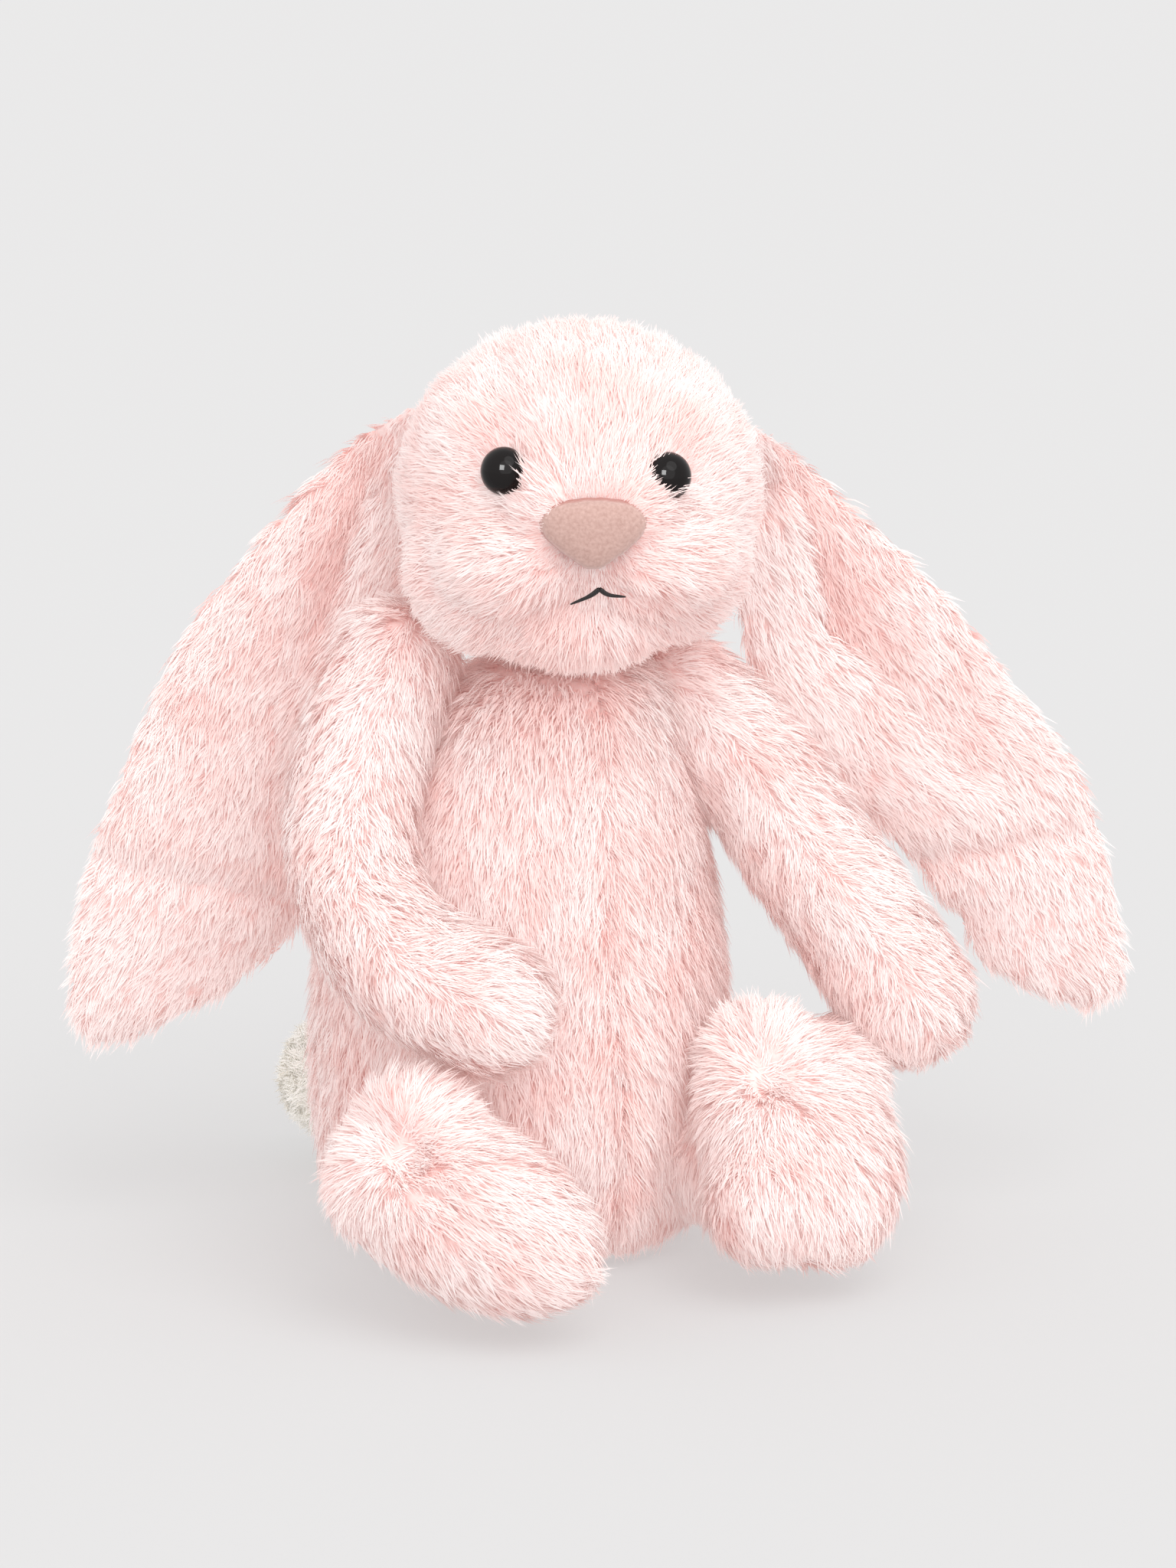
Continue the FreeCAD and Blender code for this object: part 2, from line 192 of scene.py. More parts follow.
def set_numbers(obj, name, values):
    layer = obj.data.attributes.new(name, "FLOAT", "POINT")
    layer.data.foreach_set("value", np.ascontiguousarray(values, dtype=np.float32))


def swirl(places, scale, strength, seed):
    """Smooth random vectors, for fur that parts and gathers."""
    return strength * np.array([noise.noise_vector(Vector(p) / scale + Vector((seed, 0, 0))) for p in places])


PILE_LAYERS = ("lay", "pile_length", "pile_spread", "pile_rise", "blush")


def lay_pile(obj, flow, length=8.0, rise=1.0, messy=0.5, seed=1, blush=0.0):
    """Stores which way the pile lies, how long it is, how far it stands up, and its tone with painted shade: deeper
    pink where creases and hollows fall in shade.
    """
    places, normals = read(obj)
    lay = flow(places, normals)
    lay = lay / (np.linalg.norm(lay, axis=1)[:, None] + 1e-9)
    lay = lay + swirl(places, 15, messy * 0.7, seed) + swirl(places, 5.5, messy * 0.55, seed + 9)
    # Painted shade: this layer holds each panel's own tone plus deeper pink painted into its creases and hollows.
    set_numbers(obj, "blush", np.broadcast_to(blush, len(places)))
    lay -= normals * np.sum(lay * normals, axis=1)[:, None]
    lay /= np.linalg.norm(lay, axis=1)[:, None] + 1e-9
    set_vectors(obj, "lay", lay)
    set_numbers(obj, "pile_length", np.broadcast_to(length, len(places)))
    set_numbers(obj, "pile_spread", np.broadcast_to(np.sqrt(length), len(places)))
    set_numbers(obj, "pile_rise", np.broadcast_to(rise, len(places)))


def split_panels(obj, rule, labels):
    """Cuts a skin into its sewn panels. rule gives each face's panel number from its middle."""
    mesh = obj.data
    middles = np.empty(len(mesh.polygons) * 3)
    mesh.polygons.foreach_get("center", middles)
    which = rule(middles.reshape(-1, 3) / MM)
    made = {}
    for number, label in enumerate(labels):
        part = obj.copy()
        part.data = mesh.copy()
        part.name = part.data.name = label
        show(part)
        bm = bmesh.new()
        bm.from_mesh(part.data)
        bm.faces.ensure_lookup_table()
        bmesh.ops.delete(bm, geom=[bm.faces[i] for i in np.nonzero(which != number)[0]], context="FACES")
        bm.to_mesh(part.data)
        bm.free()
        made[label] = part
    bpy.data.objects.remove(obj)
    return made


# ---------------------------------------------------------------- materials
def material(name):
    mat = bpy.data.materials.new(name)
    mat.use_nodes = True
    return mat, mat.node_tree.nodes, mat.node_tree.links, mat.node_tree.nodes["Principled BSDF"]


def ramp(nodes, stops):
    node = nodes.new("ShaderNodeValToRGB")
    node.color_ramp.elements[0].position, node.color_ramp.elements[0].color = stops[0][0], (*stops[0][1], 1)
    node.color_ramp.elements[1].position, node.color_ramp.elements[1].color = stops[-1][0], (*stops[-1][1], 1)
    for place, colour in stops[1:-1]:
        node.color_ramp.elements.new(place).color = (*colour, 1)
    return node


def grained(nodes, links, scale, detail=2):
    """Noise on the piece's own object coordinates."""
    where, grain = nodes.new("ShaderNodeTexCoord"), nodes.new("ShaderNodeTexNoise")
    grain.inputs["Scale"].default_value, grain.inputs["Detail"].default_value = scale, detail
    links.new(where.outputs["Object"], grain.inputs["Vector"])
    return grain.outputs["Fac"]


def roughened(nodes, links, shader, height, strength, distance):
    """Fine relief that follows a pattern."""
    relief = nodes.new("ShaderNodeBump")
    relief.inputs["Strength"].default_value, relief.inputs["Distance"].default_value = strength, distance
    links.new(height, relief.inputs["Height"])
    links.new(relief.outputs["Normal"], shader.inputs["Normal"])


def pile_material(name, root, middle, tip, deeper, painted_glow):
    """Fur fibres: a strong colour at the root fading to a pale tip, some tufts deeper than others by their own tone
    and by painted shade, and a faint painted glow that lifts the shade between them.
    """
    mat, nodes, links, shader = material(name)
    along = nodes.new("ShaderNodeAttribute")
    along.attribute_name = "along"
    fade = ramp(nodes, [(0.0, root), (0.4, middle), (1.0, tip)])
    links.new(along.outputs["Fac"], fade.inputs["Fac"])
    shade = nodes.new("ShaderNodeAttribute")
    shade.attribute_name = "shade"
    blend = nodes.new("ShaderNodeMix")
    blend.data_type, blend.blend_type = "RGBA", "MULTIPLY"
    links.new(shade.outputs["Fac"], blend.inputs["Factor"])
    links.new(fade.outputs["Color"], blend.inputs[6])
    blend.inputs[7].default_value = (*deeper, 1)
    links.new(blend.outputs[2], shader.inputs["Base Color"])
    shader.inputs["Roughness"].default_value = 0.75
    shader.inputs["Specular IOR Level"].default_value = 0.15
    shader.inputs["Emission Color"].default_value = (*painted_glow, 1)     # painted glow: the fibres give off a little light of their own to lift the shade between them
    shader.inputs["Emission Strength"].default_value = 0.105
    shader.inputs["Sheen Weight"].default_value = 0.15
    shader.inputs["Sheen Roughness"].default_value = 0.5
    shader.inputs["Sheen Tint"].default_value = (1.0, 0.93, 0.92, 1)
    return mat


def cloth_material(name, dark, light, grain=900.0, rough=0.9, depth=0.25):
    """Knitted or woven backing: fine loops in two shades."""
    mat, nodes, links, shader = material(name)
    loops = grained(nodes, links, grain, 4)
    shades = ramp(nodes, [(0.3, dark), (0.7, light)])
    links.new(loops, shades.inputs["Fac"])
    links.new(shades.outputs["Color"], shader.inputs["Base Color"])
    roughened(nodes, links, shader, loops, depth, FINE_RELIEF_M)
    shader.inputs["Roughness"].default_value = rough
    return mat


# The last colour of each pile is its painted glow.
PINK_PILE = pile_material("pink_pile", (0.975, 0.68, 0.645), (0.962, 0.825, 0.805), (0.955, 0.89, 0.875),
                          (0.985, 0.83, 0.81), (0.85, 0.58, 0.55))
CREAM_PILE = pile_material("cream_pile", (0.97, 0.93, 0.86), (0.98, 0.955, 0.91), (0.985, 0.97, 0.94),
                           (0.99, 0.97, 0.94), (1.0, 0.96, 0.88))
PINK_BACKING = cloth_material("pink_knit_backing", (0.95, 0.67, 0.64), (0.97, 0.77, 0.74))
CREAM_BACKING = cloth_material("cream_knit_backing", (0.86, 0.83, 0.75), (0.94, 0.92, 0.86))
WADDING = cloth_material("polyester_wadding", (0.80, 0.80, 0.79), (0.93, 0.93, 0.92), 300.0)


# ---------------------------------------------------------------- pile
def tuft(name, seed, top_coat=7, undercoat=8, width=0.31, reach=6.6, height=3.0, spread=1.8):
    """A small bunch of fibres round the origin, leaning along +X: bent ones on top, short straight ones below."""
    rng = np.random.default_rng(seed)
    points, faces, along, across = [], [], [], []
    for number in range(top_coat + undercoat):
        bent = number < top_coat
        angle, off = rng.uniform(0, 2 * math.pi), spread * math.sqrt(rng.uniform(0.0, 1.0))
        root = Vector((off * math.cos(angle), off * math.sin(angle), -0.3))
        size, lean, roll = rng.uniform(0.75, 1.15), rng.uniform(0.8, 1.2), rng.uniform(-0.7, 0.7)
        size, wide = (size, width) if bent else (size * 0.72, width * 1.5)
        drift = -root.y * 0.45 + rng.normal(0, 0.55)
        first = len(points)
        for share, thin in ((0.0, 1.0), (0.5, 0.9), (1.0, 0.0)) if bent else ((0.0, 1.0), (1.0, 0.0)):
            centre = root + Vector((reach * size * lean * share ** 1.25, drift * share,
                                    height * size * (1 - (1 - share) ** 2)))
            side = Vector((0, math.cos(roll), math.sin(roll))) * wide / 2 * thin
            for way in ((-1, 1) if thin else (0,)):
                points.append((centre + side * way) * MM)
                along.append(share if bent else share * 0.85)
                across.append(way)
        if bent:
            faces += [(first, first + 2, first + 3, first + 1), (first + 2, first + 4, first + 3)]
        else:
            faces.append((first, first + 2, first + 1))
    mesh = bpy.data.meshes.new(name)
    mesh.from_pydata(points, [], faces)
    mesh.attributes.new("along", "FLOAT", "POINT").data.foreach_set("value", along)
    mesh.attributes.new("across", "FLOAT", "POINT").data.foreach_set("value", across)
    mesh.shade_smooth()
    return bpy.data.objects.new(name, mesh)


TUFTS = bpy.data.collections.new("tufts")
for number in range(6):
    TUFTS.objects.link(tuft("tuft_%d" % number, 11 + number))
POM_TUFTS = bpy.data.collections.new("pompom_tufts")
for number in range(3):
    POM_TUFTS.objects.link(tuft("pom_tuft_%d" % number, 31 + number, reach=3.2, height=5.5, width=0.34))


def pile_tree(name):
    """Geometry Nodes: scatters tufts on a skin, turned to lie the way its `lay` attribute says."""
    tree = bpy.data.node_groups.new(name, "GeometryNodeTree")
    face = tree.interface
    face.new_socket("Skin", in_out="INPUT", socket_type="NodeSocketGeometry")
    for label, kind in (("Tufts", "NodeSocketCollection"), ("Tufts per square metre", "NodeSocketFloat"),
                        ("Seed", "NodeSocketInt"), ("Fibre material", "NodeSocketMaterial"),
                        ("Twist", "NodeSocketFloat")):
        face.new_socket(label, in_out="INPUT", socket_type=kind)
    face.new_socket("Pile", in_out="OUTPUT", socket_type="NodeSocketGeometry")
    nodes, links = tree.nodes, tree.links
    given, out = nodes.new("NodeGroupInput"), nodes.new("NodeGroupOutput")

    def attribute(word, kind):
        node = nodes.new("GeometryNodeInputNamedAttribute")
        node.data_type = kind
        node.inputs["Name"].default_value = word
        return node.outputs["Attribute"]

    def calculate(operation, *values, clamp=False):
        node = nodes.new("ShaderNodeMath")
        node.operation, node.use_clamp = operation, clamp
        for socket, value in zip(node.inputs, values):
            if isinstance(value, (int, float)):
                socket.default_value = value
            else:
                links.new(value, socket)
        return node.outputs[0]

    def random(low, high, offset):
        """A random number for each tuft, from the tree's seed and an offset of its own."""
        node = nodes.new("FunctionNodeRandomValue")
        node.inputs[2].default_value, node.inputs[3].default_value = low, high
        links.new(calculate("ADD", given.outputs["Seed"], offset), node.inputs["Seed"])
        return node.outputs[1]

    scatter = nodes.new("GeometryNodeDistributePointsOnFaces")
    links.new(given.outputs["Skin"], scatter.inputs["Mesh"])
    links.new(given.outputs["Tufts per square metre"], scatter.inputs["Density"])
    links.new(given.outputs["Seed"], scatter.inputs["Seed"])
    keep_normal = nodes.new("GeometryNodeStoreNamedAttribute")
    keep_normal.data_type, keep_normal.inputs["Name"].default_value = "FLOAT_VECTOR", "skin_normal"
    links.new(scatter.outputs["Points"], keep_normal.inputs["Geometry"])
    links.new(scatter.outputs["Normal"], keep_normal.inputs["Value"])
    shade = nodes.new("GeometryNodeStoreNamedAttribute")
    shade.data_type, shade.inputs["Name"].default_value = "FLOAT", "shade"
    links.new(keep_normal.outputs[0], shade.inputs["Geometry"])
    patch = nodes.new("ShaderNodeTexNoise")
    patch.inputs["Scale"].default_value, patch.inputs["Detail"].default_value = 75, 2
    links.new(nodes.new("GeometryNodeInputPosition").outputs[0], patch.inputs["Vector"])
    tone = calculate("MULTIPLY_ADD", patch.outputs[0], 2.6, -1.1)
    tone = calculate("ADD", tone, random(-0.3, 0.3, 3))
    # Adds each panel's own tone and its painted shade of creases and hollows to the tufts' random tone.
    tone = calculate("ADD", tone, attribute("blush", "FLOAT"), clamp=True)
    links.new(tone, shade.inputs["Value"])

    lie = nodes.new("FunctionNodeAxesToRotation")
    lie.primary_axis, lie.secondary_axis = "Z", "X"
    links.new(attribute("skin_normal", "FLOAT_VECTOR"), lie.inputs["Primary Axis"])
    links.new(attribute("lay", "FLOAT_VECTOR"), lie.inputs["Secondary Axis"])
    turn = nodes.new("FunctionNodeRotateRotation")
    turn.rotation_space = "LOCAL"
    links.new(lie.outputs["Rotation"], turn.inputs["Rotation"])
    spin = nodes.new("FunctionNodeEulerToRotation")
    around = nodes.new("ShaderNodeCombineXYZ")
    links.new(calculate("MULTIPLY", random(-1.0, 1.0, 5), given.outputs["Twist"]), around.inputs["Z"])
    links.new(random(-0.16, 0.16, 7), around.inputs["Y"])
    links.new(random(-0.2, 0.2, 8), around.inputs["X"])
    links.new(around.outputs["Vector"], spin.inputs["Euler"])
    links.new(spin.outputs["Rotation"], turn.inputs["Rotate By"])

    grow = nodes.new("ShaderNodeCombineXYZ")
    vary = random(0.8, 1.2, 9)
    for axis, word in (("X", "pile_length"), ("Y", "pile_spread"), ("Z", "pile_rise")):
        links.new(calculate("MULTIPLY", vary, attribute(word, "FLOAT")), grow.inputs[axis])
    kinds = nodes.new("GeometryNodeCollectionInfo")
    kinds.inputs["Separate Children"].default_value = True
    kinds.inputs["Reset Children"].default_value = True
    links.new(given.outputs["Tufts"], kinds.inputs["Collection"])
    plant = nodes.new("GeometryNodeInstanceOnPoints")
    plant.inputs["Pick Instance"].default_value = True
    links.new(shade.outputs[0], plant.inputs["Points"])
    links.new(kinds.outputs["Instances"], plant.inputs["Instance"])
    links.new(turn.outputs["Rotation"], plant.inputs["Rotation"])
    links.new(grow.outputs["Vector"], plant.inputs["Scale"])
    real = nodes.new("GeometryNodeRealizeInstances")
    links.new(plant.outputs["Instances"], real.inputs["Geometry"])
    soft = nodes.new("GeometryNodeSetMeshNormal")
    soft.mode, soft.domain = "FREE", "POINT"
    links.new(real.outputs["Geometry"], soft.inputs["Mesh"])
    facing = nodes.new("ShaderNodeVectorMath")
    facing.operation = "SCALE"
    links.new(attribute("skin_normal", "FLOAT_VECTOR"), facing.inputs[0])
    facing.inputs["Scale"].default_value = 4.5
    own = nodes.new("GeometryNodeInputNormal")
    mix = nodes.new("ShaderNodeVectorMath")
    links.new(facing.outputs[0], mix.inputs[0])
    links.new(own.outputs[0], mix.inputs[1])
    links.new(mix.outputs[0], soft.inputs["Custom Normal"])
    level = calculate("FLOOR", calculate("MULTIPLY", attribute("shade", "FLOAT"), 9.99))
    column = calculate("MULTIPLY_ADD", level, 0.1, 0.05)
    column = calculate("MULTIPLY_ADD", attribute("across", "FLOAT"), 0.04, column)
    chart = nodes.new("ShaderNodeCombineXYZ")
    links.new(column, chart.inputs["X"])
    links.new(calculate("MULTIPLY_ADD", attribute("along", "FLOAT"), 0.96, 0.02), chart.inputs["Y"])
    unfold = nodes.new("GeometryNodeStoreNamedAttribute")
    unfold.data_type, unfold.domain, unfold.inputs["Name"].default_value = "FLOAT2", "CORNER", "OFBake"
    links.new(soft.outputs[0], unfold.inputs["Geometry"])
    links.new(chart.outputs[0], unfold.inputs["Value"])
    colour = nodes.new("GeometryNodeSetMaterial")
    links.new(unfold.outputs[0], colour.inputs["Geometry"])
    links.new(given.outputs["Fibre material"], colour.inputs["Material"])
    links.new(colour.outputs[0], out.inputs["Pile"])
    return tree


PILE = pile_tree("pile")


def grow_pile(skin, name, body, node, per_mm2, seed, fibre=None, tufts=None, twist=0.35):
    """Covers one panel with pile and hands the pile to the body that carries the panel."""
    obj = skin.copy()
    obj.data = skin.data.copy()
    obj.name = name
    show(obj)
    grower = obj.modifiers.new("pile", "NODES")
    grower.node_group = PILE
    values = {"Tufts": tufts or TUFTS, "Tufts per square metre": per_mm2 * 1e6 * PILE_SHARE, "Seed": seed,
              "Fibre material": fibre or PINK_PILE, "Twist": twist}
    for item in PILE.interface.items_tree:
        if item.in_out == "INPUT" and item.name in values:
            grower[item.identifier] = values[item.name]
    pile = evaluated(obj)
    pile.name = pile.data.name = name
    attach(pile, body)
    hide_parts(node)
    return pile


def plain(obj, mat):
    """One material, smooth, without the pile's layers."""
    for layer in [a.name for a in obj.data.attributes if a.name in PILE_LAYERS]:
        obj.data.attributes.remove(obj.data.attributes[layer])
    obj.data.materials.clear()
    obj.data.materials.append(mat)
    obj.data.shade_smooth()


def finish_skin(skin, body, node, mat):
    """Gives a panel its thickness and hands it to its body."""
    wall = skin.modifiers.new("cloth", "SOLIDIFY")
    wall.thickness, wall.offset = CLOTH_MM * MM, -1
    skin = evaluated(skin)
    plain(skin, mat)
    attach(skin, body)
    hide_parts(node)


def wadding(obj, name, body, node, depth=2.0):
    """The filling inside a skin: the same form, a little smaller."""
    inner = obj.copy()
    inner.data = obj.data.copy()
    inner.name = inner.data.name = name
    show(inner)
    places, normals = read(inner)
    write(inner, places - normals * depth)
    plain(inner, WADDING)
    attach(inner, body)
    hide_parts(node)
    return inner


def cover(skin, body, panels, rule, per_mm2, seed, filling=None):
    """Filling, panels and pile of one stuffed part. panels are the CAD nodes they stand for."""
    if filling:
        wadding(skin, filling.replace("stuffing", "wadding"), body, filling)
    for number, (label, part) in enumerate(split_panels(skin, rule, [p + "_cloth" for p in panels]).items()):
        grow_pile(part, panels[number] + "_pile", body, panels[number], per_mm2, seed + number)
        finish_skin(part, body, panels[number], PINK_BACKING)


# ---------------------------------------------------------------- head
def on_head(x, z, out=0.0):
    """A point on the face, given sideways and up from the middle of the head."""
    return HEAD + Vector((x, -(41 + out) * math.sqrt(max(0.0, 1 - (x / 40) ** 2 - (z / 38) ** 2)), z))


head = stuffed("head_skin", [
    (HEAD + Vector((0, 1, 0.5)), (39.6, 38, 36.5)),
    (HEAD + Vector((-13, -2, 9.5)), (23.5, 28, 22)), (HEAD + Vector((12, -2, 9)), (23, 28, 21.5)),
    (HEAD + Vector((-9, -25.5, 2.5)), (9.5, 15.5, 12)), (HEAD + Vector((9.5, -25.5, 1)), (10, 15.5, 12)),
    (HEAD + Vector((-15, -23.5, -10.5)), (17, 16, 12.5)), (HEAD + Vector((15, -23.5, -10)), (17, 16, 12.5)),
    (HEAD + Vector((-20, -10, -15)), (18.5, 20, 18)), (HEAD + Vector((19, -10, -14)), (17, 20, 16.5)),
    (HEAD + Vector((-1, -15, -24)), (20, 17, 12))], 1.8, 7)
eye_seats = [EYES[s] for s in ("right", "left")]
mouth_creases = [[on_head(0.8, -8), on_head(1.6, -14)],
                 [on_head(1.6, -14), on_head(8, -16.5), on_head(14, -16.5), on_head(25, -13)],
                 [on_head(1.6, -14), on_head(-5, -18), on_head(-11, -20), on_head(-26, -18)]]
push(head,
     *[near_point(seat + Vector((0, 3, 0)), 6.5, 1.0) for seat in eye_seats],
     near_line([on_head(-17, 17), on_head(-19, 25), HEAD + Vector((-18, -8, 33))], 3.4, 2.0),
     near_line([on_head(17, 16), on_head(19, 24), HEAD + Vector((18, -8, 33))], 3.4, 2.0),
     *[near_line(crease, 2.3, depth) for crease, depth in zip(mouth_creases, (2.2, 3.6, 3.6))])


def from_nose(places, normals):
    """Fur runs away from the nose over the whole head, and away from each eye close to it."""
    flow = places - np.array(NOSE + Vector((0, 6, 0)))
    flow /= np.linalg.norm(flow, axis=1)[:, None]
    flow += np.array([0, 0.35, 0])
    for seat in eye_seats:
        away = places - np.array(seat)
        distance = np.linalg.norm(away, axis=1)[:, None]
        flow += 0.5 * away / distance * bump(distance, 12)
    return flow


def around_facing(places):
    """Angle about the facing axis, in degrees, 0 on the rabbit's left and 90 on top."""
    return np.degrees(np.arctan2(places[:, 2] - HEAD.z, places[:, 0] - HEAD.x))


def head_panel(places):
    angle = (around_facing(places) + 360) % 360
    crown, right, chin = ((angle >= a) & (angle < b) for a, b in ((34, 146), (146, 230), (230, 310)))
    return np.select([crown, right, chin], [0, 1, 2], 3)


head_places, _ = read(head)
clear_of = np.minimum.reduce([np.linalg.norm(head_places - np.array(s), axis=1) for s in eye_seats])
nose_gap = np.linalg.norm((head_places - np.array(NOSE)) * np.array([0.75, 1, 1]), axis=1)
in_crease = -sum(near_line(crease, 3.2, 1.0)(head_places) for crease in mouth_creases)
head_length = 0.74 * np.clip(np.minimum(0.66 + (clear_of - 6.0) / 16, 0.5 + (nose_gap - 8) / 12), 0.5, 1)
head_length *= 1 - 0.45 * np.clip(in_crease, 0, 1)
# Painted shade: the pile is deeper pink in the brow creases, under the jaw and in the mouth creases; the 0.2 is the
# head's own tone.
painted_brow_shade = sum(bump(np.linalg.norm(head_places - np.array(on_head(x, 18)), axis=1), 9) for x in (-20, 20))
painted_jaw_shade = np.clip((HEAD.z - 16 - head_places[:, 2]) / 14, 0, 1)
over_bead = np.zeros(len(head_places))                # fur on the nose side of a bead falls over its edge
for seat in eye_seats:
    away = head_places - np.array(seat)
    toward_nose = np.array((NOSE - seat).normalized())
    distance = np.linalg.norm(away, axis=1)
    over_bead += bump(distance - 6.2, 3.2) * np.clip(away @ toward_nose / (distance + 1e-6) * 1.6, 0, 1)
head_length += 0.45 * np.clip(over_bead, 0, 1)
lay_pile(head, from_nose, head_length, head_length * (1 + 0.5 * np.clip(over_bead, 0, 1)), 0.35, 3,
         0.5 * painted_brow_shade + 0.15 * painted_jaw_shade + 0.5 * in_crease + 0.2)
cover(head, "head", ["head_centre_gusset", "head_right_panel", "head_chin_panel", "head_left_panel"],
      head_panel, TUFTS_PER_MM2["head"], 100, "head_stuffing")

# ---------------------------------------------------------------- torso
TORSO_PROFILE = [(33, 1.6), (40, 5.5), (45, 15), (47.4, 32), (47.4, 50), (46, 68), (43.8, 84), (39.5, 98),
                 (34, 111), (28.5, 121), (25.5, 128), (21, 134), (15, 138.5)]              # radius and height


def turned_skin(name, profile, around=96, rows=60):
    """A turned form through (radius, height) points, closed at both ends."""
    radii, heights = (np.array([p[k] for p in profile], float) for k in (0, 1))
    steps = np.concatenate([[0], np.cumsum(np.hypot(np.diff(radii), np.diff(heights)))])
    fine = np.linspace(0, steps[-1], rows)
    r, h = np.interp(fine, steps, radii), np.interp(fine, steps, heights)
    for _ in range(4):
        r[1:-1] = (r[:-2] + r[1:-1] * 2 + r[2:]) / 4
        h[1:-1] = (h[:-2] + h[1:-1] * 2 + h[2:]) / 4
    bm = bmesh.new()
    rings = [[bm.verts.new(((HOME.x + r[i] * math.cos(a)) * MM, (HOME.y + r[i] * math.sin(a)) * MM, h[i] * MM))
              for a in (2 * math.pi * k / around for k in range(around))] for i in range(rows)]
    for low, high in zip(rings, rings[1:]):
        for k in range(around):
            bm.faces.new((low[k], low[(k + 1) % around], high[(k + 1) % around], high[k]))
    for ring, top in ((rings[0], False), (rings[-1], True)):
        tip = bm.verts.new((HOME.x * MM, HOME.y * MM, (h[-1] + 1.5 if top else h[0]) * MM))
        for k in range(around):
            pair = (ring[k], ring[(k + 1) % around])
            bm.faces.new((*pair, tip) if top else (*pair[::-1], tip))
    return new_piece(name, bm)


torso = turned_skin("torso_skin", TORSO_PROFILE)
NECK = Vector(frame["joints"][[j["name"] for j in frame["joints"]].index("neck_turn")]["pos_m"]) / MM
torso_places, _ = read(torso)
lean = np.clip((torso_places[:, 2] - 84) / (NECK.z - 84), 0, 1) ** 1.4
torso_places[:, :2] += lean[:, None] * np.array((NECK - HOME).xy)
write(torso, torso_places)
seam = [HOME + FORWARD * r + Vector((0, 0, h)) for r, h in TORSO_PROFILE[1:]]
push(torso, near_line(seam, 2.2, 1.3),
     lambda p: 2.0 * bump(np.linalg.norm(p - np.array(HOME + FORWARD * 46 + Vector((0, 0, 34))), axis=1), 30))


def down_body(places, normals):
    """Pile runs down the body and a little away from the front seam."""
    side = (places - np.array(HOME)) @ np.array(SIDEWAYS)
    flow = np.zeros_like(places)
    flow[:, 2] = -1
    return flow + np.sign(side)[:, None] * bump(side, 9)[:, None] * 0.35 * np.array(SIDEWAYS)


def torso_panel(places):
    local = places - np.array(HOME)
    ahead, left = local @ np.array(FORWARD) > 0, local @ np.array(SIDEWAYS) > 0
    return np.select([ahead & left, ahead & ~left, ~ahead & left], [0, 1, 2], 3)


under = np.clip((read(torso)[0][:, 2] - 1) / 6, 0.25, 1)
torso_places, _ = read(torso)
throat = np.clip((torso_places[:, 2] - 116) / 16, 0, 1)
# Painted shade: deeper pink along the seam groove and at the throat under the head; the 0.12 is the torso's own
# tone.
torso_tone_and_painted_shade = 0.3 * bump((torso_places - np.array(HOME)) @ np.array(SIDEWAYS), 2.5) + 0.12 + 0.15 * throat
lay_pile(torso, down_body, COAT_LENGTH * under, 0.72 * under + 0.5 * throat, 0.35, 5, torso_tone_and_painted_shade)
cover(torso, "torso", ["torso_front_left_panel", "torso_front_right_panel", "torso_back_left_panel",
                       "torso_back_right_panel"], torso_panel, TUFTS_PER_MM2["torso"], 200, "torso_stuffing")

# ---------------------------------------------------------------- tail
tail = stuffed("tail_skin", [(TAIL + Vector((-2.5, 0, 1)), 13.2)], 1.6, 3)
lay_pile(tail, lambda p, n: np.cross(n, [0.3, 0.2, 1]), 0.8, 0.62, 1.0, 8)
grow_pile(tail, "tail_pompom_pile", "torso", "tail_pompom", TUFTS_PER_MM2["tail"], 260, CREAM_PILE, POM_TUFTS, 3.1)
finish_skin(tail, "torso", "tail_pompom", CREAM_BACKING)


# ---------------------------------------------------------------- arms
def curve_through(points, count):
    """Evenly spaced (place, direction, share) along a smooth curve through the points."""
    spots = [points[0] * 2 - points[1]] + list(points) + [points[-1] * 2 - points[-2]]
    fine = []
    for a, b, c, d in zip(spots, spots[1:], spots[2:], spots[3:]):
        for k in range(24):
            s = k / 24
            fine.append(0.5 * (2 * b + (c - a) * s + (2 * a - 5 * b + 4 * c - d) * s * s
                               + (3 * b - a - 3 * c + d) * s ** 3))
    fine.append(points[-1])
    lengths = np.concatenate([[0], np.cumsum([(q - p).length for p, q in zip(fine, fine[1:])])])
    wanted = np.linspace(0, lengths[-1], count)
    xyz = np.array([np.interp(wanted, lengths, [f[k] for f in fine]) for k in range(3)]).T
    run = np.gradient(xyz, axis=0)
    return xyz, run / np.linalg.norm(run, axis=1)[:, None], wanted / lengths[-1]


ARM_BENDS = {
    "right": [at(-28.8, -18.5, 140.2), at(-37.4, -27, 119), at(-39.5, -41, 97), at(-30, -57, 80.5),
              at(-12, -66.5, 71.5)],
    "left": [at(37, 2, 127), at(55, -5, 108), at(66, -14, 92), at(77, -22, 77), at(86.5, -28, 62)],
}
# How far along the arm, and its radius there.
ARM_SIZES = [(0, 12.8), (0.12, 14.0), (0.5, 13.7), (0.8, 13.7), (1, 14.4)]


def nearest_of(places, xyz):
    """For each place, the number of the nearest point of a curve."""
    return np.argmin(((places[:, None, :] - xyz[None]) ** 2).sum(axis=2), axis=1)


def along_curve(xyz, run):
    """Flow field that follows a limb from its root to its end."""
    return lambda places, normals: run[nearest_of(places, xyz)]


